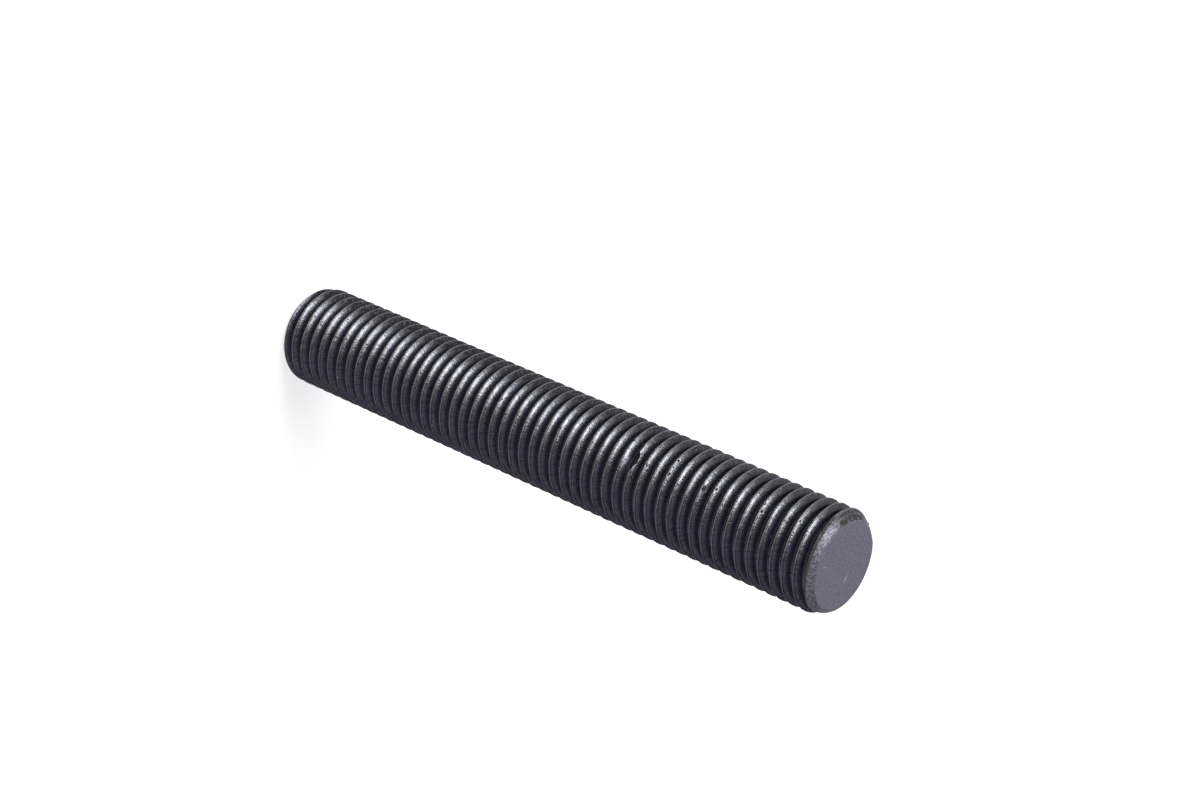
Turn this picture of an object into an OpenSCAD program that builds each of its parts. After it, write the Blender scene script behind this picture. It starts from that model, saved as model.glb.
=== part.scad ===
// Threaded stud: one round bar with a right-hand thread rolled from end to end and a chamfer on each end.
// It stands on its lower end, the axis along +Z and the middle of the lower end at the origin.
// Lengths are millimetres, angles are degrees.

/* [Bar] */
// Overall length, from end face to end face
stud_l = 130; // [60:1:165]

/* [Thread] */
// Diameter over the crests
crest_d = 19.65; // [16:0.05:25]
// Distance along the axis from one crest to the next
pitch = 2.5; // [1.9:0.05:3.5]
// Angle between the two flanks of the groove
flank_angle = 60; // [50:1:70]
// Width of the flat on top of the crest
crest_w = 0.31; // [0.25:0.01:0.5]
// Width of the flat at the bottom of the groove
root_w = 0.42; // [0.3:0.01:0.6]

/* [Ends] */
// Length of each chamfer along the axis
chamfer_l = 1.5; // [0.5:0.1:2.5]
// Angle of the chamfer from the axis
chamfer_angle = 45; // [30:1:60]
// Radius that eases the chamfer into the crests
shoulder_r = 3; // [0.5:0.1:4]
// Radius on the rim of each end face
rim_r = 0.5; // [0.1:0.1:1]
// Length along the axis over which the groove runs out behind each chamfer
run_out_l = 1.3; // [0.8:0.1:2.5]

/* [Hidden] */
steel_colour = [0.16, 0.16, 0.18];

crest_r = crest_d / 2;
face_r = crest_r - chamfer_l * tan(chamfer_angle);

// The two rounds share the chamfer's slope and leave a straight stretch between them
slope_l = chamfer_l / cos(chamfer_angle);
rim_turn = 90 - chamfer_angle;
rim_round = min(rim_r, 0.2 * slope_l / tan(rim_turn / 2));
shoulder_round = min(shoulder_r, 0.7 * slope_l / tan(chamfer_angle / 2));
arc_steps = 4;

// The thread is cut a little long at both ends, so that the end faces trim it
spare_turns = 3;
turns = ceil(stud_l / pitch) + spare_turns;
start_z = -pitch * spare_turns / 2;

// Flat facets round one turn: as many as a long or fine thread leaves room for
facet_budget = 11500;
finest_steps = 24;
facets_a_step = 8;
steps = min(finest_steps, floor(facet_budget / (facets_a_step * turns)));

// The corners of the facets stand out by this factor, so that on average the facets lie on the true thread
stand_out = 2 / (1 + cos(180 / steps));
// The ridge rises past the bar's surface by this much, so that the crest is the bar's own round surface
crest_margin = 0.02;
ridge_r = crest_r / cos(180 / steps) + crest_margin;

flank_w = (pitch - crest_w - root_w) / 2;
root_r = crest_r - flank_w / tan(flank_angle / 2);
ridge_inset = (ridge_r - crest_r * stand_out) * tan(flank_angle / 2);

// The groove is gone where this share of the chamfer's length is left
run_out_end = 0.75 * chamfer_l;

// Corners of one pitch of the thread, each as radius and height: over the crest, then along the root
profile = [
    [ridge_r, ridge_inset],
    [ridge_r, crest_w - ridge_inset],
    [root_r * stand_out, crest_w + flank_w],
    [root_r * stand_out, crest_w + flank_w + root_w],
];
corners = len(profile);
rows = corners * turns + 1;

// Least radius at a height: the groove rises out of the metal towards each end
function floor_r(z) =
    let (share = (min(z, stud_l - z) - run_out_end) / run_out_l)
    ridge_r - (ridge_r - root_r * stand_out) * max(0, min(1, share));

// Point on the thread at one step round the bar and one corner up its side
function thread_point(step, row) =
    let (
        corner = profile[row % corners],
        angle = 360 * step / steps,
        z = start_z + pitch * (step / steps + floor(row / corners)) + corner[1],
        radius = max(corner[0], floor_r(z)))
    [radius * cos(angle), radius * sin(angle), z];

// Number of that point in the list; after a whole turn a side meets the first one, one pitch higher
function point_at(step, row) = step == steps ? row + corners : step * rows + row;

// Two facets between neighbouring sides and rows
function facet_pair(step, row) = [
    [point_at(step, row), point_at(step, row + 1), point_at(step + 1, row)],
    [point_at(step + 1, row), point_at(step, row + 1), point_at(step + 1, row + 1)],
];

// Facets from every edge of a closed loop of points to one point on the axis
function cap(loop, tip) = [for (i = [0:len(loop) - 1]) [tip, loop[i], loop[(i + 1) % len(loop)]]];

// The helical ridge and groove, longer than the bar
module thread_form() {
    low_tip = steps * rows;
    high_tip = low_tip + 1;
    last = rows - 1;
    side_points = [for (step = [0:steps - 1]) for (row = [0:last]) thread_point(step, row)];
    tips = [[0, 0, start_z - pitch], [0, 0, start_z + pitch * (turns + 2)]];
    skin = [
        for (step = [0:steps - 1])
            for (row = [0:last - 1 - (step == steps - 1 ? corners : 0)])
                each facet_pair(step, row)
    ];
    low_loop = concat(
        [for (step = [0:steps]) point_at(step, 0)],
        [for (row = [corners - 1:-1:1]) point_at(0, row)]);
    high_loop = concat(
        [for (row = [last - corners:last]) point_at(steps - 1, row)],
        [for (step = [steps - 2:-1:0]) point_at(step, last)]);
    polyhedron(
        points = concat(side_points, tips),
        faces = concat(skin, cap(low_loop, low_tip), cap(high_loop, high_tip)));
}

// Points of a round in the bar's outline, each as radius and distance from the end face
function arc(centre, radius, from, to) = [
    for (i = [0:arc_steps])
        let (angle = from + (to - from) * i / arc_steps)
        centre + radius * [sin(angle), -cos(angle)]
];

// Outline of one end, from the rim of its flat face over the chamfer to the crests
function end_outline() = concat(
    arc([face_r - rim_round * tan(rim_turn / 2), rim_round], rim_round, 0, rim_turn),
    arc([crest_r - shoulder_round, chamfer_l + shoulder_round * tan(chamfer_angle / 2)],
        shoulder_round, rim_turn, 90));

// The plain bar, turned round with its two chamfered ends
module turned_bar() {
    lower = end_outline();
    last = len(lower) - 1;
    upper = [for (i = [last:-1:0]) [lower[i][0], stud_l - lower[i][1]]];
    rotate_extrude($fn = 96)
        polygon(concat([[0, 0]], lower, upper, [[0, stud_l]]));
}

// The whole stud: the thread's form kept inside the turned bar
module stud() {
    color(steel_colour)
        intersection() {
            thread_form();
            turned_bar();
        }
}

stud();
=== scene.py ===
"""Blackened steel threaded stud, standing on its lower end on a white floor.

The stud's length and crest diameter come from the frame. Its other sizes are written here in millimetres and
turned into metres where a mesh or a pattern is made. The studio's sizes are in metres.
"""
import logging
import math
from collections import Counter
from dataclasses import dataclass, field
from enum import Enum

import bmesh
import bpy
from mathutils import Matrix, Vector, noise

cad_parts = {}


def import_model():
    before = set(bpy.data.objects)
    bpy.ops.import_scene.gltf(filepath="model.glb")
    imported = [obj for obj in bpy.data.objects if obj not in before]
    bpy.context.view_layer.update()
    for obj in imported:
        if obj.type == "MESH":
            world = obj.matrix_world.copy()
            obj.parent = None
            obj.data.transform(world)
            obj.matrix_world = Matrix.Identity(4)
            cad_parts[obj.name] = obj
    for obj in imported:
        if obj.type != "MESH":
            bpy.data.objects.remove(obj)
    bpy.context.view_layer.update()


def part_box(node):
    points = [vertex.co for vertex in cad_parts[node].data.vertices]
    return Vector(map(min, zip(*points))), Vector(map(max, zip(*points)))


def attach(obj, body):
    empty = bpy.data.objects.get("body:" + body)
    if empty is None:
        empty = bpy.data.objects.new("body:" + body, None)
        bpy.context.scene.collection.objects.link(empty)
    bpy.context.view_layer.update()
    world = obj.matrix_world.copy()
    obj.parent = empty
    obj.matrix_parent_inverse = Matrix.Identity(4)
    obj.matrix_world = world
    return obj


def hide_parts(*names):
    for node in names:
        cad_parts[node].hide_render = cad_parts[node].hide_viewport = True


MM = 0.001
NODE_NAME = "stud"
BODY_NAME = "root"

GRAIN_SIZE = 0.45
STREAK_SIZE = 0.42

Colour = tuple[float, float, float]
Point = tuple[float, float, float]
Socket = bpy.types.NodeSocket
Value = Socket | float

log = logging.getLogger("threaded_stud")


class Surface(Enum):
    """Kinds of surface on the stud, in the order of its material slots."""

    THREAD = 0
    CHAMFER = 1
    END_FACE = 2


class End(Enum):
    """The stud's two ends, valued by the way that each one faces along the axis."""

    LOWER = -1
    UPPER = 1


def direction(azimuth: float, elevation: float) -> Vector:
    """Return the unit vector at an azimuth and an elevation in degrees."""
    around, above = math.radians(azimuth), math.radians(elevation)
    return Vector((math.cos(above) * math.cos(around), math.cos(above) * math.sin(around), math.sin(above)))


def put_in_scene(name: str, data: bpy.types.ID) -> bpy.types.Object:
    """Return a new object of some data, linked into the scene."""
    item = bpy.data.objects.new(name, data)
    bpy.context.scene.collection.objects.link(item)
    return item


class NodeBench:
    """A small workbench for laying out one material's shader nodes."""

    def __init__(self, name: str) -> None:
        """Start an empty material.

        Args:
            name: the material's name.
        """
        self.material = bpy.data.materials.new(name)
        self.material.use_nodes = True
        self.tree = self.material.node_tree
        self.tree.nodes.clear()
        self.place = self.add("ShaderNodeTexCoord").outputs["Object"]

    def add(self, kind: str, **settings: object) -> bpy.types.Node:
        """Add a node.

        Args:
            kind: the node's type name.
            settings: properties to set on it.

        Returns:
            The new node.
        """
        node = self.tree.nodes.new(kind)
        for key, value in settings.items():
            setattr(node, key, value)
        return node

    def feed(self, socket: Socket, value: Value | tuple[float, ...]) -> None:
        """Link an output into a socket, or set a plain value on it.

        Args:
            socket: the input socket.
            value: an output socket, a number, a vector or a colour.
        """
        if isinstance(value, Socket):
            self.tree.links.new(value, socket)
        else:
            socket.default_value = value

    def math(self, operation: str, first: Value, *others: Value) -> Socket:
        """Do one sum, and go on in the same way with each further value.

        Args:
            operation: the Math node's operation.
            first: the first number or socket.
            others: the numbers or sockets that follow it, or none for a root.

        Returns:
            The result's socket.
        """
        for other in others or (0.0,):
            node = self.add("ShaderNodeMath", operation=operation)
            self.feed(node.inputs[0], first)
            self.feed(node.inputs[1], other)
            first = node.outputs[0]
        return first

    def rest(self, share: Socket) -> Socket:
        """Return what a share leaves over."""
        return self.math("SUBTRACT", 1.0, share)

    def noise(self, size: float, detail: float = 3.0, roughness: float = 0.55,
              place: Socket | None = None) -> Socket:
        """Lay soft noise over the piece.

        Args:
            size: width of one blotch in millimetres.
            detail: how many finer layers it has.
            roughness: how strong the finer layers are.
            place: coordinates to use in place of the object's own.

        Returns:
            The noise's factor, from 0 to 1.
        """
        node = self.add("ShaderNodeTexNoise", noise_dimensions="3D")
        self.feed(node.inputs["Vector"], self.place if place is None else place)
        node.inputs["Scale"].default_value = 1.0 / (size * MM)
        node.inputs["Detail"].default_value = detail
        node.inputs["Roughness"].default_value = roughness
        return node.outputs["Fac"]

    def grain(self) -> Socket:
        """Return the fine grain of the blackened steel, from 0 to 1."""
        return self.noise(GRAIN_SIZE, roughness=0.75)

    def streaks(self, radius: float, along: float) -> Socket:
        """Lay streaks that run straight down the flanks.

        Args:
            radius: radius of the cylinder that they lie on, in millimetres.
            along: their stretch along the axis.

        Returns:
            The streaks' factor, from 0 to 1.
        """
        return self.noise(STREAK_SIZE, roughness=0.7, place=self.unrolled(radius, along))

    def specks(self, size: float) -> Socket:
        """Scatter specks over the piece.

        Args:
            size: spacing of the specks in millimetres.

        Returns:
            The distance to the nearest speck, in spacings.
        """
        node = self.add("ShaderNodeTexVoronoi", feature="F1")
        self.feed(node.inputs["Vector"], self.place)
        node.inputs["Scale"].default_value = 1.0 / (size * MM)
        return node.outputs["Distance"]

    def ramp(self, value: Socket, low: float, high: float,
             start: float = 0.0, end: float = 1.0) -> Socket:
        """Stretch a value smoothly between two limits.

        Args:
            value: the socket to read.
            low: the reading that gives the start.
            high: the reading that gives the end.
            start: the result at low.
            end: the result at high.

        Returns:
            The stretched value's socket.
        """
        node = self.add("ShaderNodeMapRange", interpolation_type="SMOOTHSTEP")
        for socket, number in zip(node.inputs, (value, low, high, start, end)):
            self.feed(socket, number)
        return node.outputs["Result"]

    def band(self, radius: Socket, crest_radius: float, start: float, full: float) -> Socket:
        """Pick out a band by its depth below the crests.

        Args:
            radius: distance from the axis, in metres.
            crest_radius: the crests' radius in millimetres.
            start: depth at which the band starts, in millimetres.
            full: depth at which it is full, in millimetres.

        Returns:
            A factor that rises from 0 to 1 over the band.
        """
        return self.ramp(radius, (crest_radius - start) * MM, (crest_radius - full) * MM)

    def mix(self, factor: Socket, first: Socket | Colour, second: Socket | Colour) -> Socket:
        """Mix two colours.

        Args:
            factor: share of the second colour.
            first: a colour or a socket.
            second: a colour or a socket.

        Returns:
            The mixed colour's socket.
        """
        node = self.add("ShaderNodeMix", data_type="RGBA")
        self.feed(node.inputs["Factor"], factor)
        colours = [socket for socket in node.inputs if socket.type == "RGBA"]
        for socket, value in zip(colours, (first, second)):
            self.feed(socket, value if isinstance(value, Socket) else (*value, 1.0))
        return next(socket for socket in node.outputs if socket.type == "RGBA")

    def coats(self, colour: Socket, *layers: tuple[Socket, Socket | Colour]) -> Socket:
        """Lay coats over a colour, one after the other.

        Args:
            colour: the colour at the bottom.
            layers: each coat's share of the surface and its colour.

        Returns:
            The colour on top.
        """
        for share, coat in layers:
            colour = self.mix(share, colour, coat)
        return colour

    def axes(self) -> tuple[Socket, ...]:
        """Split the object's coordinates.

        Returns:
            The x, y and z sockets, in metres.
        """
        node = self.add("ShaderNodeSeparateXYZ")
        self.feed(node.inputs[0], self.place)
        return tuple(node.outputs)

    def radius(self) -> Socket:
        """Return the distance from the stud's axis, in metres."""
        x, y, _ = self.axes()
        squares = self.math("ADD", self.math("MULTIPLY", x, x), self.math("MULTIPLY", y, y))
        return self.math("SQRT", squares)

    def side(self, angle: float, core: float, reach: float) -> Socket:
        """Pick out one side of the stud.

        Args:
            angle: direction of that side round the axis, in degrees.
            core: how far to each side the result is full, in degrees.
            reach: how far to each side the result ends, in degrees.

        Returns:
            A factor that falls from 1 to 0 away from that side.
        """
        x, y, _ = self.axes()
        turn = math.radians(angle)
        along = self.math("ADD", self.math("MULTIPLY", x, math.cos(turn)),
                          self.math("MULTIPLY", y, math.sin(turn)))
        facing = self.math("DIVIDE", along, self.radius())
        return self.ramp(facing, math.cos(math.radians(reach)), math.cos(math.radians(core)))

    def unrolled(self, size: float, along: float) -> Socket:
        """Take the radius out of the coordinates, so that a pattern runs straight down the flanks.

        Args:
            size: radius of the cylinder that the pattern lies on, in millimetres.
            along: stretch of the pattern along the axis.

        Returns:
            The coordinates' socket, in metres.
        """
        x, y, z = self.axes()
        radius = self.radius()
        join = self.add("ShaderNodeCombineXYZ")
        for socket, part in zip(join.inputs, (x, y)):
            self.feed(socket, self.math("MULTIPLY", self.math("DIVIDE", part, radius), size * MM))
        self.feed(join.inputs[2], self.math("DIVIDE", z, along))
        return join.outputs[0]

    def spot(self, centre: Point, half: Point, turn: float = 0.0, soft: float = 0.6) -> Socket:
        """Mark one oval spot.

        Args:
            centre: its middle, in millimetres.
            half: its half sizes, in millimetres.
            turn: its turn about the axis, in degrees.
            soft: share of the half size at which it starts to fade.

        Returns:
            A factor that falls from 1 in the spot to 0 outside it.
        """
        node = self.add("ShaderNodeMapping", vector_type="TEXTURE")
        self.feed(node.inputs["Vector"], self.place)
        node.inputs["Location"].default_value = Vector(centre) * MM
        node.inputs["Rotation"].default_value = (0.0, 0.0, math.radians(turn))
        node.inputs["Scale"].default_value = Vector(half) * MM
        reach = self.add("ShaderNodeVectorMath", operation="LENGTH")
        self.feed(reach.inputs[0], node.outputs[0])
        return self.ramp(reach.outputs["Value"], 1.0, soft)

    def bump(self, height: Socket, strength: float, depth: float, under: Socket | None = None) -> Socket:
        """Turn a height into a bumped normal.

        Args:
            height: the height's socket.
            strength: share of the bump that shows.
            depth: the bump's full depth in millimetres.
            under: a normal to lay the bump on.

        Returns:
            The normal's socket.
        """
        node = self.add("ShaderNodeBump")
        node.inputs["Strength"].default_value = strength
        node.inputs["Distance"].default_value = depth * MM
        self.feed(node.inputs["Height"], height)
        if under is not None:
            self.feed(node.inputs["Normal"], under)
        return node.outputs["Normal"]

    def finish(self, **sockets: Value | tuple[float, ...]) -> bpy.types.Material:
        """Close the material with a surface shader.

        Args:
            sockets: the shader's inputs, with underscores in place of spaces.

        Returns:
            The finished material.
        """
        shader = self.add("ShaderNodeBsdfPrincipled")
        for name, value in sockets.items():
            self.feed(shader.inputs[name.replace("_", " ")], value)
        output = self.add("ShaderNodeOutputMaterial")
        self.feed(output.inputs["Surface"], shader.outputs["BSDF"])
        return self.material


@dataclass(frozen=True)
class Fleck:
    """A small mark on the stud, with sizes in millimetres and angles in degrees."""

    height: float
    angle: float
    radius: float
    length: float
    width: float
    turn: float = 0.0

    def mask(self, bench: NodeBench) -> Socket:
        """Return the mark's share of the surface."""
        turn = math.radians(self.angle)
        centre = (self.radius * math.cos(turn), self.radius * math.sin(turn), self.height)
        return bench.spot(centre, (self.length / 2, self.width / 2, self.width / 2), self.turn)


@dataclass(frozen=True)
class BlackOxide:
    """Oiled black oxide on the rolled thread: dull black in the roots, partly as painted shade, satin and
    burnished at the crests.

    Sizes, heights and depths below the crests are in millimetres, and sides are degrees round the axis.
    """

    root_radius: float
    crest_radius: float
    pit_stains: tuple[Fleck, ...]
    # dark root colour: partly oily oxide in the grooves, partly painted shade; also the dark of the grain
    root_colour: Colour = (0.018, 0.0175, 0.025)
    flank_colour: Colour = (0.110, 0.108, 0.170)
    edge_colour: Colour = (0.208, 0.211, 0.226)
    # painted shade: bluer flank colour for the side that lay lowest
    painted_shade_edge_colour: Colour = (0.234, 0.229, 0.262)
    burnish_colour: Colour = (0.212, 0.216, 0.238)
    # painted light: paler roots on the side that lay lowest
    painted_light_root_colour: Colour = (0.062, 0.061, 0.092)
    # painted shade: darker crest rims on the side that lay lowest
    painted_shade_crest_colour: Colour = (0.072, 0.072, 0.100)
    dust_colour: Colour = (0.040, 0.0375, 0.0435)
    # darker colour towards the lower end
    low_end_colour: Colour = (0.016, 0.015, 0.016)
    flour_colour: Colour = (0.086, 0.083, 0.089)
    lip_colour: Colour = (0.140, 0.118, 0.104)
    rust_colour: Colour = (0.100, 0.040, 0.028)
    grime_colour: Colour = (0.018, 0.015, 0.014)
    metal_share: float = 0.90
    # painted shade: the specular tint darkens grazing reflections along the outline
    painted_outline_shade: Colour = (0.45, 0.45, 0.50)
    crest_start: float = 0.09
    crest_full: float = 0.01
    streak_stretch: float = 4.0
    streak_depth: float = 0.09
    grain_depth: float = 0.07
    pit_spacing: float = 0.9
    pit_depth: float = 0.06
    patch_size: float = 2.6
    burnish_size: float = 0.9
    lip_size: float = 1.4
    dust_size: float = 0.5
    flour_size: float = 0.55
    rust_size: float = 1.1
    dusty_side: float = 241.0
    brown_side: float = 316.0
    # side round the axis where light and shade are painted into the colours
    painted_light_side: float = 10.0
    dusty_start: float = 39.0
    dusty_end: float = 130.0
    rust_flecks: tuple[Fleck, ...] = (
        Fleck(126.66, 323.7, 9.21, 0.5, 0.5),
        Fleck(127.44, 336.5, 8.29, 0.5, 0.8),
        Fleck(124.26, 354.4, 9.40, 0.4, 0.3),
        Fleck(124.63, 11.8, 8.97, 0.7, 0.5),
        Fleck(119.52, 318.2, 8.52, 0.5, 0.9),
        Fleck(119.03, 336.8, 9.60, 0.3, 0.3),
    )
    bright_flecks: tuple[Fleck, ...] = (
        Fleck(88.72, 299.5, 9.30, 2.2, 0.8, turn=29.5),
        Fleck(121.25, 276.9, 9.37, 0.5, 0.5),
        Fleck(115.94, 262.2, 9.70, 0.6, 0.4),
        Fleck(111.22, 266.4, 9.70, 0.5, 0.4),
        Fleck(123.60, 256.6, 9.70, 0.5, 0.4),
        Fleck(107.30, 351.0, 9.75, 0.9, 0.4),
        Fleck(16.50, 354.6, 9.75, 0.8, 0.4),
        Fleck(9.60, 359.0, 9.75, 0.8, 0.4),
    )

    def base(self, bench: NodeBench, height: Socket, crest: Socket) -> Socket:
        """Colour the oxide from root to crest, with painted light and shade on the side that lay lowest.

        Args:
            bench: the material's workbench.
            height: height up the flank, from 0 at the root to 1 at the crest.
            crest: share of the crest.

        Returns:
            The colour's socket.
        """
        # painted light and shade on the side that lay lowest: paler roots and bluer flanks there
        shaded = bench.side(self.painted_light_side, 25.0, 75.0)
        root = bench.mix(shaded, self.root_colour, self.painted_light_root_colour)
        # painted shade: the upper flanks turn bluer on that side
        edge = bench.mix(shaded, self.edge_colour, self.painted_shade_edge_colour)
        rim = bench.ramp(height, 0.93, 0.985)
        patches = bench.ramp(bench.noise(self.patch_size), 0.25, 0.55, 0.6, 1.0)
        worn = bench.ramp(bench.noise(self.burnish_size), 0.30, 0.62)
        brown = bench.ramp(bench.noise(self.lip_size), 0.42, 0.64, 0.0, 0.8)
        return bench.coats(
            # darker towards the roots: partly oily oxide in the grooves, partly painted shade
            bench.mix(bench.ramp(height, 0.05, 0.55), root, self.flank_colour),
            (bench.math("MULTIPLY", bench.ramp(height, 0.35, 0.80), patches), edge),
            (bench.math("MULTIPLY", crest, worn), self.burnish_colour),
            # painted shade: the crest rims are darkened on the side that lay lowest
            (bench.math("MULTIPLY", bench.side(self.painted_light_side, 24.0, 60.0), rim), self.painted_shade_crest_colour),
            (bench.math("MULTIPLY", bench.side(self.brown_side, 12.0, 30.0), rim, brown), self.lip_colour),
        )

    def dust(self, bench: NodeBench, height: Socket, crest: Socket) -> Socket:
        """Settle dust on the side that lay uppermost.

        Args:
            bench: the material's workbench.
            height: height up the flank, from 0 at the root to 1 at the crest.
            crest: share of the crest.

        Returns:
            The dust's share of the surface.
        """
        lie = bench.side(self.dusty_side, 16.0, 36.0)
        rubbed = bench.math("MULTIPLY", crest, 0.7)
        patches = bench.ramp(bench.noise(self.dust_size), 0.38, 0.52, 0.55, 1.0)
        return bench.math("MULTIPLY", lie, bench.ramp(height, 0.15, 0.55), bench.rest(rubbed), patches)

    def settled(self, bench: NodeBench) -> Socket:
        """Colour what has settled: darker low on the stud, paler towards its upper end, with paler flour in
        it.

        Args:
            bench: the material's workbench.

        Returns:
            The colour's socket.
        """
        upper = bench.ramp(bench.axes()[2], self.dusty_start * MM, self.dusty_end * MM)
        flour = bench.ramp(bench.noise(self.flour_size, detail=2.0), 0.56, 0.68, 0.0, 0.7)
        return bench.mix(flour, bench.mix(upper, self.low_end_colour, self.dust_colour), self.flour_colour)

    def material(self) -> bpy.types.Material:
        """Return the thread's material."""
        bench = NodeBench("black_oxide")
        radius = bench.radius()
        height = bench.ramp(radius, self.root_radius * MM, self.crest_radius * MM)
        crest = bench.band(radius, self.crest_radius, self.crest_start, self.crest_full)
        streaks = bench.streaks(self.crest_radius, self.streak_stretch)
        grain = bench.grain()
        dust = self.dust(bench, height, crest)
        speck = bench.math("MULTIPLY", bench.side(self.dusty_side, 20.0, 55.0), bench.ramp(grain, 0.60, 0.70))
        rust = bench.math("MAXIMUM", bench.ramp(bench.noise(self.rust_size), 0.75, 0.77),
                          *(fleck.mask(bench) for fleck in self.rust_flecks))
        bright = bench.math("MAXIMUM", *(fleck.mask(bench) for fleck in self.bright_flecks))
        pits = bench.math("MAXIMUM", bench.ramp(bench.specks(self.pit_spacing), 0.19, 0.11),
                          *(stain.mask(bench) for stain in self.pit_stains))
        colour = bench.coats(
            self.base(bench, height, crest),
            (bench.ramp(streaks, 0.58, 0.34, 0.0, 0.4), self.root_colour),
            (bench.ramp(grain, 0.44, 0.30, 0.0, 0.5), self.root_colour),
            (dust, self.settled(bench)),
            (speck, self.grime_colour),
            (rust, self.rust_colour),
            (bright, self.burnish_colour),
            (pits, self.grime_colour),
        )
        bare = bench.math("MAXIMUM", bench.rest(bench.math("MAXIMUM", dust, speck, rust)), bright)
        roughness = bench.math("ADD", bench.ramp(grain, 0.30, 0.70, 0.19, 0.34),
                               bench.math("MULTIPLY", dust, 0.25), bench.ramp(height, 0.5, 0.0, 0.0, 0.20))
        normal = bench.bump(streaks, 0.45, self.streak_depth)
        normal = bench.bump(grain, 0.6, self.grain_depth, normal)
        normal = bench.bump(bench.rest(pits), 0.7, self.pit_depth, normal)
        # the specular tint is painted shade: it darkens grazing reflections along the outline
        return bench.finish(Base_Color=colour, Metallic=bench.math("MULTIPLY", bare, self.metal_share),
                            Roughness=roughness, Specular_IOR_Level=0.2,
                            Specular_Tint=(*self.painted_outline_shade, 1.0), Normal=normal)


@dataclass(frozen=True)
class TurnedChamfer:
    """The chamfer, turned and then blackened with the rest, with grime where it eases into the crests.

    Sizes, heights and depths below the crests are in millimetres, and sides are degrees round the axis.
    """

    crest_radius: float
    colour: Colour = (0.226, 0.228, 0.254)
    dark_colour: Colour = (0.084, 0.082, 0.108)
    matt_colour: Colour = (0.100, 0.097, 0.126)
    grime_colour: Colour = (0.046, 0.041, 0.039)
    torn_colour: Colour = (0.082, 0.077, 0.088)
    scab_colour: Colour = (0.036, 0.032, 0.033)
    # painted shade: the specular tint darkens grazing reflections along the outline
    painted_outline_shade: Colour = (0.40, 0.40, 0.45)
    metal_share: float = 0.62
    streak_stretch: float = 2.0
    streak_depth: float = 0.09
    grain_depth: float = 0.08
    matt_start: float = 0.75
    matt_full: float = 1.07
    grime_start: float = 0.55
    grime_full: float = 0.38
    torn_start: float = 0.22
    torn_full: float = 0.52
    ragged_size: float = 0.7
    ragged_reach: float = 0.7
    grime_size: float = 0.8
    scab_size: float = 0.8
    tear_size: float = 0.9
    grimy_side: float = 318.0
    torn_side: float = 247.0
    torn_heights: tuple[float, float] = (100.0, 110.0)

    def grime(self, bench: NodeBench) -> Socket:
        """Return the share of the grime, where one side of the chamfer eases into the crests."""
        strip = bench.band(bench.radius(), self.crest_radius, self.grime_start, self.grime_full)
        patches = bench.ramp(bench.noise(self.grime_size), 0.25, 0.5, 0.5, 1.0)
        return bench.math("MULTIPLY", strip, bench.side(self.grimy_side, 38.0, 62.0), patches)

    def torn(self, bench: NodeBench, ragged: Socket) -> Socket:
        """Mark the torn patch, which only the upper chamfer has.

        Args:
            bench: the material's workbench.
            ragged: distance from the axis with an uneven edge, in metres.

        Returns:
            The patch's share of the surface.
        """
        patch = bench.math("ADD", bench.side(self.torn_side, 8.0, 32.0), bench.noise(self.tear_size))
        low, high = self.torn_heights
        upper = bench.ramp(bench.axes()[2], low * MM, high * MM)
        inner = bench.band(ragged, self.crest_radius, self.torn_start, self.torn_full)
        return bench.math("MULTIPLY", bench.ramp(patch, 0.80, 1.05), upper, inner)

    def material(self) -> bpy.types.Material:
        """Return the chamfer's material."""
        bench = NodeBench("turned_chamfer")
        grain = bench.grain()
        streaks = bench.streaks(self.crest_radius, self.streak_stretch)
        uneven = bench.math("MULTIPLY", bench.noise(self.ragged_size), self.ragged_reach * MM)
        ragged = bench.math("ADD", bench.radius(), uneven)
        matt = bench.band(ragged, self.crest_radius, self.matt_start, self.matt_full)
        grime = self.grime(bench)
        torn = self.torn(bench, ragged)
        shade = bench.math("MULTIPLY", bench.ramp(grain, 0.38, 0.60),
                           bench.ramp(streaks, 0.32, 0.52, 0.45, 1.0))
        scab = bench.ramp(bench.noise(self.scab_size), 0.46, 0.60)
        colour = bench.coats(
            bench.mix(shade, self.dark_colour, self.colour),
            (matt, self.matt_colour),
            (grime, self.grime_colour),
            (torn, bench.mix(scab, self.scab_colour, self.torn_colour)),
        )
        bare = bench.rest(bench.math("MAXIMUM", grime, torn, matt))
        normal = bench.bump(streaks, 0.5, self.streak_depth)
        normal = bench.bump(grain, 0.7, self.grain_depth, normal)
        # the specular tint is painted shade: it darkens grazing reflections along the outline
        return bench.finish(Base_Color=colour, Metallic=bench.math("MULTIPLY", bare, self.metal_share),
                            Roughness=bench.ramp(grain, 0.25, 0.75, 0.36, 0.56), Specular_IOR_Level=0.2,
                            Specular_Tint=(*self.painted_outline_shade, 1.0), Normal=normal)


@dataclass(frozen=True)
class Scratch:
    """A straight scratch across the upper face, with sizes in millimetres and its turn in degrees."""

    x: float
    y: float
    length: float
    turn: float = 0.0


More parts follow.
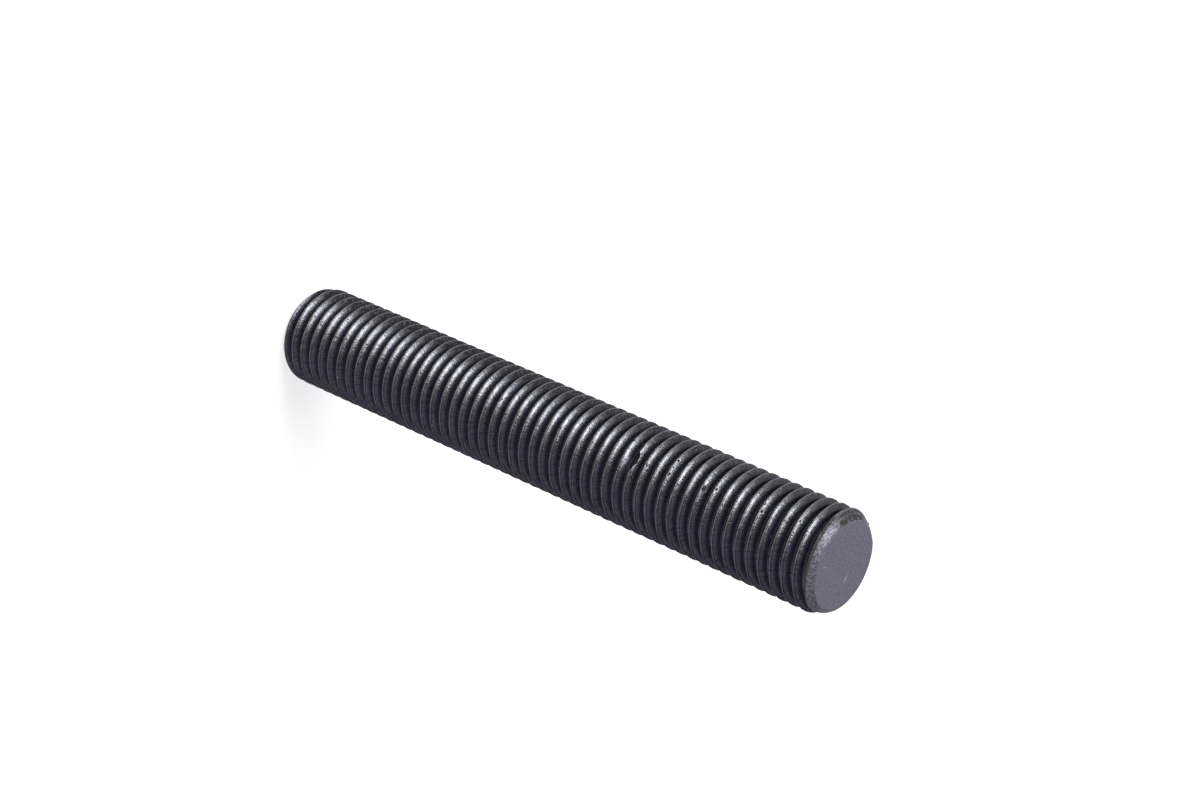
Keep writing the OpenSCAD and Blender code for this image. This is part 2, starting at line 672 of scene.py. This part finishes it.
@dataclass(frozen=True)
class SawnEnd:
    """The flat end face, sawn off and blackened to a matt grey, with sizes in millimetres."""

    height: float
    colour: Colour = (0.118, 0.113, 0.146)
    bright_colour: Colour = (0.480, 0.470, 0.490)
    dark_colour: Colour = (0.070, 0.067, 0.085)
    scratches: tuple[Scratch, ...] = (Scratch(-0.23, 3.05, 1.6, turn=32.7), Scratch(5.36, -3.18, 0.3))
    score: Scratch = Scratch(0.35, 1.68, 1.8, turn=115.7)
    scratch_width: float = 0.20
    scratch_reach: float = 0.5
    mottle: float = 0.34
    grain_size: float = 0.38
    grain_depth: float = 0.03
    blot_size: float = 0.5
    glint_size: float = 0.36

    def mark(self, bench: NodeBench, scratch: Scratch) -> Socket:
        """Return one scratch's share of the surface."""
        half = (scratch.length / 2, self.scratch_width / 2, self.scratch_reach)
        return bench.spot((scratch.x, scratch.y, self.height), half, scratch.turn)

    def material(self) -> bpy.types.Material:
        """Return the end face's material."""
        bench = NodeBench("sawn_end")
        grain = bench.noise(self.grain_size, detail=4.0, roughness=0.85)
        darker, paler = (tuple(level * part for part in self.colour)
                         for level in (1 - self.mottle, 1 + self.mottle))
        blots = bench.ramp(bench.noise(self.blot_size, detail=2.0), 0.36, 0.28, 0.0, 0.6)
        glints = bench.ramp(bench.noise(self.glint_size, detail=2.0), 0.68, 0.76, 0.0, 0.4)
        bright = bench.math("MAXIMUM", glints, *(self.mark(bench, scratch) for scratch in self.scratches))
        colour = bench.coats(
            bench.mix(bench.ramp(grain, 0.34, 0.66), darker, paler),
            (bench.math("MAXIMUM", blots, self.mark(bench, self.score)), self.dark_colour),
            (bright, self.bright_colour),
        )
        return bench.finish(Base_Color=colour, Roughness=0.62, IOR=1.4,
                            Normal=bench.bump(grain, 0.4, self.grain_depth))


@dataclass(frozen=True)
class ThreadForm:
    """Section of the rolled thread, with sizes in millimetres and angles in degrees."""

    crest_radius: float
    pitch: float = 2.5
    flank_angle: float = 60.0
    crest_width: float = 0.31
    crest_flat: float = 0.12
    root_width: float = 0.42
    seam_depth: float = 0.035
    seam_tilt: float = -22.0
    crest_tilts: tuple[float, ...] = (-60.0, -42.0, -32.0, -22.0, -12.0, 0.0, 20.0, 40.0, 60.0)
    flank_steps: int = 3
    root_steps: int = 4

    @property
    def half_angle(self) -> float:
        """Return the angle between a flank and the plane across the axis, in radians."""
        return math.radians(self.flank_angle / 2)

    @property
    def flank_slope(self) -> float:
        """Return how far a flank drops for each millimetre along the axis."""
        return 1 / math.tan(self.half_angle)

    @property
    def depth(self) -> float:
        """Return the depth of the groove below the crest."""
        return (self.pitch - self.crest_width - self.root_width) / 2 * self.flank_slope

    @property
    def root_radius(self) -> float:
        """Return the radius at the bottom of the groove."""
        return self.crest_radius - self.depth

    def round_for(self, width: float) -> float:
        """Return the radius that rounds a flat of this width off between its two flanks."""
        sine, cosine = math.sin(self.half_angle), math.cos(self.half_angle)
        return width / 2 * cosine / (1 - sine)

    def section(self) -> list[tuple[float, float]]:
        """Work out the section of one pitch, from the foot of a ridge's lower flank to the next one's.

        Returns:
            Pairs of distance along the axis and radius.
        """
        crest = self.round_for(self.crest_width - self.crest_flat)
        root = self.round_for(self.root_width)
        over = []
        for tilt in self.crest_tilts:
            turn = math.radians(tilt)
            seam = self.seam_depth if tilt == self.seam_tilt else 0.0
            middle = math.copysign(self.crest_flat / 2, tilt)
            over.append((middle + crest * math.sin(turn), crest * (1 - math.cos(turn)) + seam))
        reach = math.pi / 2 - self.half_angle
        under = []
        for step in range(self.root_steps + 1):
            turn = reach * (1 - 2 * step / self.root_steps)
            under.append((self.pitch / 2 - root * math.sin(turn), self.depth - root * (1 - math.cos(turn))))
        down = self.flank(over[-1], under[0])
        up = [(-along, drop) for along, drop in reversed(down)]
        points = up + over + down + under
        points.append((points[0][0] + self.pitch, points[0][1]))
        return [(along, self.crest_radius - drop) for along, drop in points]

    def flank(self, top: tuple[float, float], foot: tuple[float, float]) -> list[tuple[float, float]]:
        """Return the points between a flank's top and its foot."""
        shares = [step / self.flank_steps for step in range(1, self.flank_steps)]
        return [tuple(a + (b - a) * share for a, b in zip(top, foot)) for share in shares]


@dataclass(frozen=True)
class TurnedBlank:
    """Outline of the turned bar that the thread runs out through, with sizes in millimetres."""

    length: float
    crest_radius: float
    chamfer_length: float = 1.5
    chamfer_angle: float = 45.0
    rim_round: float = 0.5
    shoulder_round: float = 3.0
    arc_steps: int = 4
    clearance: float = 0.02
    weld_gap: float = 0.001
    matt_tilt: float = 70.0

    def arc(self, corner: Vector, into: Vector, out: Vector, radius: float) -> list[Vector]:
        """Round one corner of the outline.

        Args:
            corner: the sharp corner, as radius and distance from the end face.
            into: direction of the outline before it.
            out: direction of the outline after it.
            radius: radius of the round.

        Returns:
            The points of the round, first to last.
        """
        turn = into.angle(out)
        start = corner - into * radius * math.tan(turn / 2)
        middle = start + Vector((-into.y, into.x)) * radius
        return [middle + Matrix.Rotation(turn * step / self.arc_steps, 2) @ (start - middle)
                for step in range(self.arc_steps + 1)]

    def end_profile(self) -> list[Vector]:
        """Work out the outline of one end, from the flat face out to the crests.

        Returns:
            Points of radius and distance from the end face.
        """
        angle = math.radians(self.chamfer_angle)
        outwards, along = Vector((1, 0)), Vector((0, 1))
        slope = Vector((math.sin(angle), math.cos(angle)))
        outer = self.crest_radius + self.clearance
        shoulder = Vector((outer, self.chamfer_length))
        rim = Vector((outer - self.chamfer_length * math.tan(angle), 0))
        return (self.arc(rim, outwards, slope, self.rim_round)
                + self.arc(shoulder, slope, along, self.shoulder_round))

    def build(self, steps: int) -> bpy.types.Object:
        """Turn the bar as an object that trims the thread.

        Args:
            steps: number of sides round the bar.

        Returns:
            The bar's object.
        """
        bar = bmesh.new()
        end = self.end_profile()
        outline = [(point.x, point.y) for point in end]
        outline += [(point.x, self.length - point.y) for point in reversed(end)]
        points = [bar.verts.new((radius * MM, 0, height * MM)) for radius, height in outline]
        edges = [bar.edges.new(pair) for pair in zip(points, points[1:])]
        bmesh.ops.spin(bar, geom=points + edges, cent=(0, 0, 0), axis=(0, 0, 1), angle=2 * math.pi,
                       steps=steps, use_merge=True)
        bmesh.ops.remove_doubles(bar, verts=bar.verts, dist=self.weld_gap * MM)
        bmesh.ops.edgeloop_fill(bar, edges=[edge for edge in bar.edges if edge.is_boundary])
        bmesh.ops.recalc_face_normals(bar, faces=bar.faces)
        for face in bar.faces:
            matt = abs(face.normal.z) > math.sin(math.radians(self.matt_tilt))
            face.material_index = Surface.END_FACE.value if matt else Surface.CHAMFER.value
        mesh = bpy.data.meshes.new("turned_blank")
        bar.to_mesh(mesh)
        bar.free()
        return put_in_scene("turned_blank", mesh)


@dataclass(frozen=True)
class Scar:
    """A scar in the stud's surface, with sizes in millimetres and its angle round the axis in degrees.

    Its lead and its tail are how far it reaches along the thread, before and after its middle.
    """

    height: float
    angle: float
    lead: float
    tail: float
    width: float
    depth: float
    cuts: int
    margin_along: float = 0.7
    margin_across: float = 0.25

    def offsets(self, place: Vector, form: ThreadForm) -> tuple[float, float]:
        """Measure where a place lies from the scar.

        Args:
            place: a point in metres.
            form: the thread's section.

        Returns:
            Distances along the thread and along the axis, in millimetres.
        """
        turn = math.atan2(place.y, place.x) - math.radians(self.angle)
        turn = (turn + math.pi) % (2 * math.pi) - math.pi
        return turn * form.crest_radius, place.z / MM - self.height

    def share(self, along: float) -> float:
        """Return the scar's depth at a distance along the thread, from 1 in its middle to 0 at its ends."""
        part = along / (self.tail if along > 0 else self.lead)
        return max(0.0, 1 - part * part)

    def refine(self, metal: bmesh.types.BMesh, form: ThreadForm) -> list[bmesh.types.BMVert]:
        """Cut the faces round the scar finer.

        Args:
            metal: the stud's mesh.
            form: the thread's section.

        Returns:
            The vertices round the scar.
        """
        faces = []
        for face in metal.faces:
            along, across = self.offsets(face.calc_center_median(), form)
            beside = -self.lead - self.margin_along < along < self.tail + self.margin_along
            if beside and abs(across) < self.width + self.margin_across:
                faces.append(face)
        edges = list(dict.fromkeys(edge for face in faces for edge in face.edges))
        fine = bmesh.ops.subdivide_edges(metal, edges=edges, cuts=self.cuts, use_grid_fill=True)
        verts = [item for item in fine["geom"] if isinstance(item, bmesh.types.BMVert)]
        verts += [vert for edge in edges if edge.is_valid for vert in edge.verts]
        return list(dict.fromkeys(verts))

    def cut(self, metal: bmesh.types.BMesh, form: ThreadForm) -> None:
        """Cut the scar into the metal.

        Args:
            metal: the stud's mesh.
            form: the thread's section.
        """
        for vert in self.refine(metal, form):
            along, across = self.offsets(vert.co, form)
            if abs(across) < self.width:
                self.move(vert, along, across, form)

    def move(self, vert: bmesh.types.BMVert, along: float, across: float, form: ThreadForm) -> None:
        """Move one vertex of the scar; each kind of scar has its own way."""
        raise NotImplementedError


@dataclass(frozen=True)
class Nick(Scar):
    """A stretch of ridge knocked in from below; its depth is how far the lower flank is moved up."""

    floor: float = 1.35

    def move(self, vert: bmesh.types.BMVert, along: float, across: float, form: ThreadForm) -> None:
        """Bring a vertex in to the moved flank."""
        lower = self.depth * self.share(along) - form.crest_width / 2 - across
        room = (form.crest_radius - min(max(0.0, lower) * form.flank_slope, self.floor)) * MM
        length = vert.co.xy.length
        if length > room and abs(along) < max(self.lead, self.tail):
            vert.co.xy *= room / length


@dataclass(frozen=True)
class Dent(Scar):
    """A smooth hollow in the surface."""

    def move(self, vert: bmesh.types.BMVert, along: float, across: float, form: ThreadForm) -> None:
        """Push a vertex in towards the axis."""
        part = across / self.width
        share = max(0.0, self.share(along) - part * part)
        vert.co.xy -= vert.co.xy.normalized() * self.depth * MM * share


@dataclass(frozen=True)
class Pit(Dent):
    """A small round hole with a dark stain in it."""

    cuts: int = 4
    stain_length: float = 0.40
    stain_width: float = 0.36
    stain_radius: float = 9.65

    def stain(self) -> Fleck:
        """Return the stain as a mark on the thread."""
        return Fleck(self.height, self.angle, self.stain_radius, self.stain_length, self.stain_width)


@dataclass(frozen=True)
class Tear(Scar):
    """A torn patch of the chamfer."""

    grain: float = 0.55
    even_share: float = 0.35
    face_offset: float = 0.49

    def move(self, vert: bmesh.types.BMVert, along: float, across: float, form: ThreadForm) -> None:
        """Push a vertex in unevenly, and keep the flat face flat."""
        part = across / self.width
        share = math.sqrt(max(0.0, self.share(along) - part * part))
        rough = max(0.0, noise.noise(vert.co / (self.grain * MM)))
        bite = self.depth * share * (self.even_share + rough) * MM
        vert.co.xy -= vert.co.xy.normalized() * bite
        if across < self.face_offset:
            vert.co.z -= bite


@dataclass
class ThreadedStud:
    """The whole stud: a rolled thread from end to end, with a chamfer and a flat face at each end.

    Sizes are in millimetres and angles in degrees.
    """

    length: float
    form: ThreadForm
    steps_a_turn: int = 72
    spare_turns: int = 3
    start_height: float = -3.75
    end_spare: float = 1.0
    weld_gap: float = 0.002
    plane_slack: float = 0.0001
    run_out_start: float = 0.6
    run_out_length: float = 1.2
    run_out_rise: float = 0.05
    wear_reach: float = 0.30
    wear_depth: float = 0.07
    wear_size: float = 1.1
    smooth_limit: float = 42.0
    flat_limit: float = 0.9999
    sliver: float = 0.003
    sort_way: Point = (0.37, 0.61, 1.0)
    nick: Nick = Nick(height=88.53, angle=298.5, lead=1.2, tail=2.9, width=1.3, depth=0.80, cuts=5)
    pits: tuple[Pit, ...] = (
        Pit(103.86, 301.4, lead=0.34, tail=0.34, width=0.32, depth=0.30, stain_length=0.55, stain_width=0.50),
        Pit(103.84, 298.2, lead=0.30, tail=0.30, width=0.32, depth=0.30, stain_length=0.50, stain_width=0.50),
        Pit(106.12, 295.4, lead=0.22, tail=0.22, width=0.22, depth=0.25),
        Pit(116.20, 297.9, lead=0.22, tail=0.22, width=0.22, depth=0.25),
        Pit(123.69, 290.6, lead=0.20, tail=0.20, width=0.20, depth=0.20, stain_length=0.36, stain_width=0.34),
        Pit(96.18, 301.3, lead=0.25, tail=0.25, width=0.22, depth=0.22, stain_length=0.42),
        Pit(91.23, 302.8, lead=0.25, tail=0.25, width=0.22, depth=0.20, stain_width=0.34),
        Pit(96.06, 282.3, lead=0.20, tail=0.20, width=0.20, depth=0.20, stain_length=0.36, stain_width=0.34),
    )
    rim_dents: tuple[Dent, ...] = (
        Dent(height=130.0, angle=203.0, lead=4.2, tail=4.2, width=1.4, depth=0.45, cuts=2),
        Dent(height=128.9, angle=50.0, lead=4.5, tail=4.5, width=1.3, depth=0.28, cuts=2),
    )
    tear: Tear = Tear(height=129.5, angle=247.0, lead=3.4, tail=3.4, width=1.0, depth=0.34, cuts=4)
    finishes: list[bpy.types.Material] = field(default_factory=list, init=False)
    piece: bpy.types.Object | None = field(default=None, init=False)

    @property
    def turns(self) -> int:
        """Return how many turns are made before the ends are cut."""
        return math.ceil(self.length / self.form.pitch) + self.spare_turns

    @property
    def scars(self) -> tuple[Scar, ...]:
        """Return all the scars, in the order in which they are cut."""
        return self.nick, *self.pits, *self.rim_dents, self.tear

    def build(self) -> bpy.types.Object:
        """Make the stud's mesh and its object.

        Returns:
            The finished piece.
        """
        self.mix_finishes()
        metal = bmesh.new()
        self.roll_thread(metal)
        for end in End:
            self.close_end(metal, end)
        self.wear_crests(metal)
        self.run_out(metal)
        bmesh.ops.recalc_face_normals(metal, faces=metal.faces)
        rolled = bpy.data.meshes.new("rolled_thread")
        metal.to_mesh(rolled)
        metal.free()
        mesh = self.trim(rolled)
        self.finish_mesh(mesh)
        self.piece = put_in_scene("threaded_stud", mesh)
        return self.piece

    def roll_thread(self, metal: bmesh.types.BMesh) -> None:
        """Spin one turn of the thread and repeat it along the axis.

        Args:
            metal: the mesh to add to.
        """
        pitch = self.form.pitch * MM
        middle = self.start_height + self.form.crest_width / 2
        points = [metal.verts.new((radius * MM, 0.0, (middle + along) * MM))
                  for along, radius in self.form.section()]
        edges = [metal.edges.new(pair) for pair in zip(points, points[1:])]
        bmesh.ops.spin(metal, geom=points + edges, cent=(0, 0, 0), axis=(0, 0, 1),
                       dvec=(0, 0, pitch / self.steps_a_turn), angle=2 * math.pi,
                       steps=self.steps_a_turn, use_merge=False, use_duplicate=False)
        turn = metal.verts[:] + metal.edges[:] + metal.faces[:]
        for number in range(1, self.turns):
            copy = bmesh.ops.duplicate(metal, geom=turn)["geom"]
            bmesh.ops.translate(metal, vec=(0, 0, pitch * number),
                                verts=[item for item in copy if isinstance(item, bmesh.types.BMVert)])
        bmesh.ops.remove_doubles(metal, verts=metal.verts, dist=self.weld_gap * MM)

    def close_end(self, metal: bmesh.types.BMesh, end: End) -> None:
        """Cut the thread off a little past one end and close it.

        Args:
            metal: the thread's mesh.
            end: which end to cut.
        """
        height = self.length + self.end_spare if end is End.UPPER else -self.end_spare
        cut = bmesh.ops.bisect_plane(metal, geom=metal.verts[:] + metal.edges[:] + metal.faces[:],
                                     plane_co=(0, 0, height * MM), plane_no=(0, 0, end.value),
                                     dist=self.plane_slack * MM, clear_outer=True)["geom_cut"]
        rim = [item for item in cut if isinstance(item, bmesh.types.BMEdge) and item.is_boundary]
        bmesh.ops.edgeloop_fill(metal, edges=rim)

    def wear_crests(self, metal: bmesh.types.BMesh) -> None:
        """Wear the crests down unevenly.

        Args:
            metal: the thread's mesh.
        """
        for vert in metal.verts:
            drop = self.form.crest_radius - vert.co.xy.length / MM
            if drop < self.wear_reach:
                bite = max(0.0, noise.noise(vert.co / (self.wear_size * MM)))
                fade = 1 - drop / self.wear_reach
                vert.co.xy -= vert.co.xy.normalized() * self.wear_depth * MM * bite * fade

    def run_out(self, metal: bmesh.types.BMesh) -> None:
        """Let the groove rise out of the metal towards each end.

        Args:
            metal: the thread's mesh.
        """
        top = self.form.crest_radius + self.run_out_rise
        for vert in metal.verts:
            height = vert.co.z / MM
            behind = min(height, self.length - height) - self.run_out_start
            share = min(1.0, max(0.0, behind / self.run_out_length))
            floor = (top - (top - self.form.root_radius) * share) * MM
            radius = vert.co.xy.length
            if share < 1 and 0 < radius < floor:
                vert.co.xy *= floor / radius

    def trim(self, rolled: bpy.types.Mesh) -> bpy.types.Mesh:
        """Trim the thread to the turned blank.

        Args:
            rolled: the thread's mesh, longer than the stud.

        Returns:
            The trimmed mesh.
        """
        thread = put_in_scene("rolled_thread", rolled)
        blank = TurnedBlank(self.length, self.form.crest_radius).build(self.steps_a_turn)
        for item in (thread, blank):
            for finish in self.finishes:
                item.data.materials.append(finish)
        cut = thread.modifiers.new("trim", "BOOLEAN")
        cut.operation = "INTERSECT"
        cut.object = blank
        cut.solver = "MANIFOLD"
        graph = bpy.context.evaluated_depsgraph_get()
        mesh = bpy.data.meshes.new_from_object(thread.evaluated_get(graph))
        for item in (thread, blank):
            bpy.data.objects.remove(item)
        mesh.name = "threaded_stud"
        return mesh

    def finish_mesh(self, mesh: bpy.types.Mesh) -> None:
        """Cut the scars in and set how the faces meet.

        Args:
            mesh: the trimmed mesh.
        """
        metal = bmesh.new()
        metal.from_mesh(mesh)
        self.sort(metal)
        self.clean(metal)
        for scar in self.scars:
            scar.cut(metal, self.form)
        many_sided = [face for face in metal.faces if len(face.verts) > 4]
        bmesh.ops.triangulate(metal, faces=many_sided, quad_method="BEAUTY", ngon_method="BEAUTY")
        self.clean(metal)
        for face in metal.faces:
            face.smooth = abs(face.normal.z) < self.flat_limit
        for edge in metal.edges:
            soft = all(face.smooth for face in edge.link_faces)
            edge.smooth = soft and edge.calc_face_angle(0.0) < math.radians(self.smooth_limit)
        metal.to_mesh(mesh)
        metal.free()

    def sort(self, metal: bmesh.types.BMesh) -> None:
        """Sort the mesh by place, because the trim leaves it in another order at each run.

        Args:
            metal: the stud's mesh.
        """
        way = Vector(self.sort_way)
        metal.verts.sort(key=lambda vert: vert.co.dot(way))
        metal.edges.sort(key=lambda edge: (edge.verts[0].co + edge.verts[1].co).dot(way))
        metal.faces.sort(key=lambda face: face.calc_center_median().dot(way))

    def clean(self, metal: bmesh.types.BMesh) -> None:
        """Take out slivers, faces without area and folded flaps, which are two faces on the same corners.

        Args:
            metal: the stud's mesh.
        """
        bmesh.ops.remove_doubles(metal, verts=metal.verts, dist=self.sliver * MM)
        bmesh.ops.dissolve_degenerate(metal, dist=self.sliver * MM, edges=metal.edges)
        corners = Counter(frozenset(face.verts) for face in metal.faces)
        flaps = [face for face in metal.faces if corners[frozenset(face.verts)] > 1]
        bmesh.ops.delete(metal, geom=flaps, context="FACES")

    def mix_finishes(self) -> None:
        """Make the finishes, in the order of the surfaces."""
        stains = tuple(pit.stain() for pit in self.pits)
        finishes = {
            Surface.THREAD: BlackOxide(self.form.root_radius, self.form.crest_radius, stains),
            Surface.CHAMFER: TurnedChamfer(self.form.crest_radius),
            Surface.END_FACE: SawnEnd(self.length),
        }
        self.finishes = [finishes[surface].material() for surface in Surface]

    def dress(self) -> None:
        """Hand the piece to the frame."""
        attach(self.piece, BODY_NAME)
        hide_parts(NODE_NAME)


@dataclass(frozen=True)
class Viewpoint:
    """The photograph's camera, leaning so that the standing stud lies across the picture.

    Lengths are in millimetres and angles in degrees.
    """

    aim: Point = (-6.759, -6.998, 70.005)
    distance: float = 470.09
    azimuth: float = -44.004
    elevation: float = 34.71
    roll: float = -112.984
    lens: float = 76.8
    near_limit: float = 10.0

    def build(self) -> bpy.types.Object:
        """Make the camera and set it as the scene's.

        Returns:
            The camera object.
        """
        back = direction(self.azimuth, self.elevation)
        lean = math.radians(self.roll)
        level = Vector((0, 0, 1)).cross(back).normalized()
        upright = back.cross(level)
        up = upright * math.cos(lean) + level * math.sin(lean)
        right = up.cross(back)
        turn = Matrix((right, up, back)).transposed().to_4x4()
        data = bpy.data.cameras.new("photo_camera")
        data.lens = self.lens
        data.clip_start = self.near_limit * MM
        camera = put_in_scene("photo_camera", data)
        camera.matrix_world = Matrix.Translation((Vector(self.aim) + back * self.distance) * MM) @ turn
        bpy.context.scene.camera = camera
        return camera


@dataclass(frozen=True)
class SoftBox:
    """An oblong studio light, placed by its direction from the middle of the stud.

    Sizes are in metres, angles in degrees and the power in watts.
    """

    name: str
    azimuth: float
    elevation: float
    lean: float
    distance: float
    width: float
    height: float
    power: float
    tint: Colour = (1.0, 1.0, 1.0)

    def build(self, target: Vector) -> bpy.types.Object:
        """Hang the light and turn it to the stud.

        Args:
            target: the point that it shines at.

        Returns:
            The light object.
        """
        way = direction(self.azimuth, self.elevation)
        turn = way.to_track_quat("Z", "Y").to_matrix().to_4x4()
        data = bpy.data.lights.new(self.name, "AREA")
        data.shape = "RECTANGLE"
        data.size, data.size_y = self.width, self.height
        data.energy = self.power
        data.color = self.tint
        light = put_in_scene(self.name, data)
        light.matrix_world = (Matrix.Translation(target + way * self.distance) @ turn
                              @ Matrix.Rotation(math.radians(self.lean), 4, "Z"))
        return light


@dataclass(frozen=True)
class Studio:
    """White floor, soft boxes and an even white surround, with sizes in metres."""

    floor_width: float = 6.0
    surround: float = 0.21
    surround_tint: Colour = (0.90, 0.89, 1.0)
    floor_glow: float = 0.72
    far_glow: float = 0.92
    glow_start: float = 0.35
    glow_end: float = 1.2
    floor_colour: Colour = (0.5, 0.5, 0.5)
    boxes: tuple[SoftBox, ...] = (
        SoftBox("key_box", azimuth=-112, elevation=59, lean=30, distance=0.9, width=0.38, height=0.92,
                power=9.0),
        SoftBox("side_box", azimuth=-88, elevation=22, lean=0, distance=0.9, width=0.40, height=0.30,
                power=3.1),
        SoftBox("fill_box", azimuth=25, elevation=15, lean=0, distance=0.9, width=0.70, height=0.60,
                power=2.1, tint=(0.88, 0.87, 1.0)),
    )

    def build(self, target: Vector) -> None:
        """Set up the whole studio.

        Args:
            target: the point that the lights shine at.
        """
        self.lay_floor()
        self.light_surround()
        for box in self.boxes:
            box.build(target)

    def lay_floor(self) -> None:
        """Lay a white floor that keeps the stud's shadow."""
        slab = bmesh.new()
        bmesh.ops.create_grid(slab, x_segments=1, y_segments=1, size=self.floor_width / 2)
        mesh = bpy.data.meshes.new("floor")
        slab.to_mesh(mesh)
        slab.free()
        floor = put_in_scene("floor", mesh)
        mesh.materials.append(self.floor_material())

    def floor_material(self) -> bpy.types.Material:
        """Return the floor's material: a pale sheet that glows only to the camera and in reflections."""
        bench = NodeBench("white_floor")
        path = bench.add("ShaderNodeLightPath")
        seen = bench.math("MAXIMUM", path.outputs["Is Camera Ray"], path.outputs["Is Glossy Ray"],
                          path.outputs["Is Transmission Ray"])
        glow = bench.add("ShaderNodeEmission")
        level = bench.ramp(bench.radius(), self.glow_start, self.glow_end, self.floor_glow, self.far_glow)
        bench.feed(glow.inputs["Strength"], bench.math("MULTIPLY", seen, level))
        sheet = bench.add("ShaderNodeBsdfDiffuse")
        bench.feed(sheet.inputs["Color"], (*self.floor_colour, 1.0))
        both = bench.add("ShaderNodeAddShader")
        bench.feed(both.inputs[0], glow.outputs[0])
        bench.feed(both.inputs[1], sheet.outputs[0])
        output = bench.add("ShaderNodeOutputMaterial")
        bench.feed(output.inputs["Surface"], both.outputs[0])
        return bench.material

    def light_surround(self) -> None:
        """Light the stud evenly from all round, and show the camera plain white beyond the floor."""
        world = bpy.data.worlds.new("surround")
        world.use_nodes = True
        tree = world.node_tree
        tree.nodes.clear()
        both = tree.nodes.new("ShaderNodeMixShader")
        path = tree.nodes.new("ShaderNodeLightPath")
        tree.links.new(path.outputs["Is Camera Ray"], both.inputs[0])
        for socket, tint, strength in zip(both.inputs[1:], (self.surround_tint, (1.0, 1.0, 1.0)),
                                          (self.surround, 1.0)):
            sky = tree.nodes.new("ShaderNodeBackground")
            sky.inputs["Color"].default_value = (*tint, 1.0)
            sky.inputs["Strength"].default_value = strength
            tree.links.new(sky.outputs[0], socket)
        output = tree.nodes.new("ShaderNodeOutputWorld")
        tree.links.new(both.outputs[0], output.inputs["Surface"])
        bpy.context.scene.world = world


def main() -> None:
    """Build the stud, the studio and the camera."""
    logging.basicConfig(level=logging.INFO, format="%(name)s: %(message)s")
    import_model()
    low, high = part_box(NODE_NAME)
    crest_radius = (high[0] - low[0]) / 2 / MM
    length = (high[2] - low[2]) / MM
    Viewpoint().build()
    stud = ThreadedStud(length, ThreadForm(crest_radius))
    piece = stud.build()
    stud.dress()
    log.info("%s: %d faces, %.1f mm long", piece.name, len(piece.data.polygons), length)
    Studio().build(Vector((0, 0, length / 2 * MM)))
    bpy.context.scene.view_settings.view_transform = "Standard"


if __name__ == "__main__":
    main()
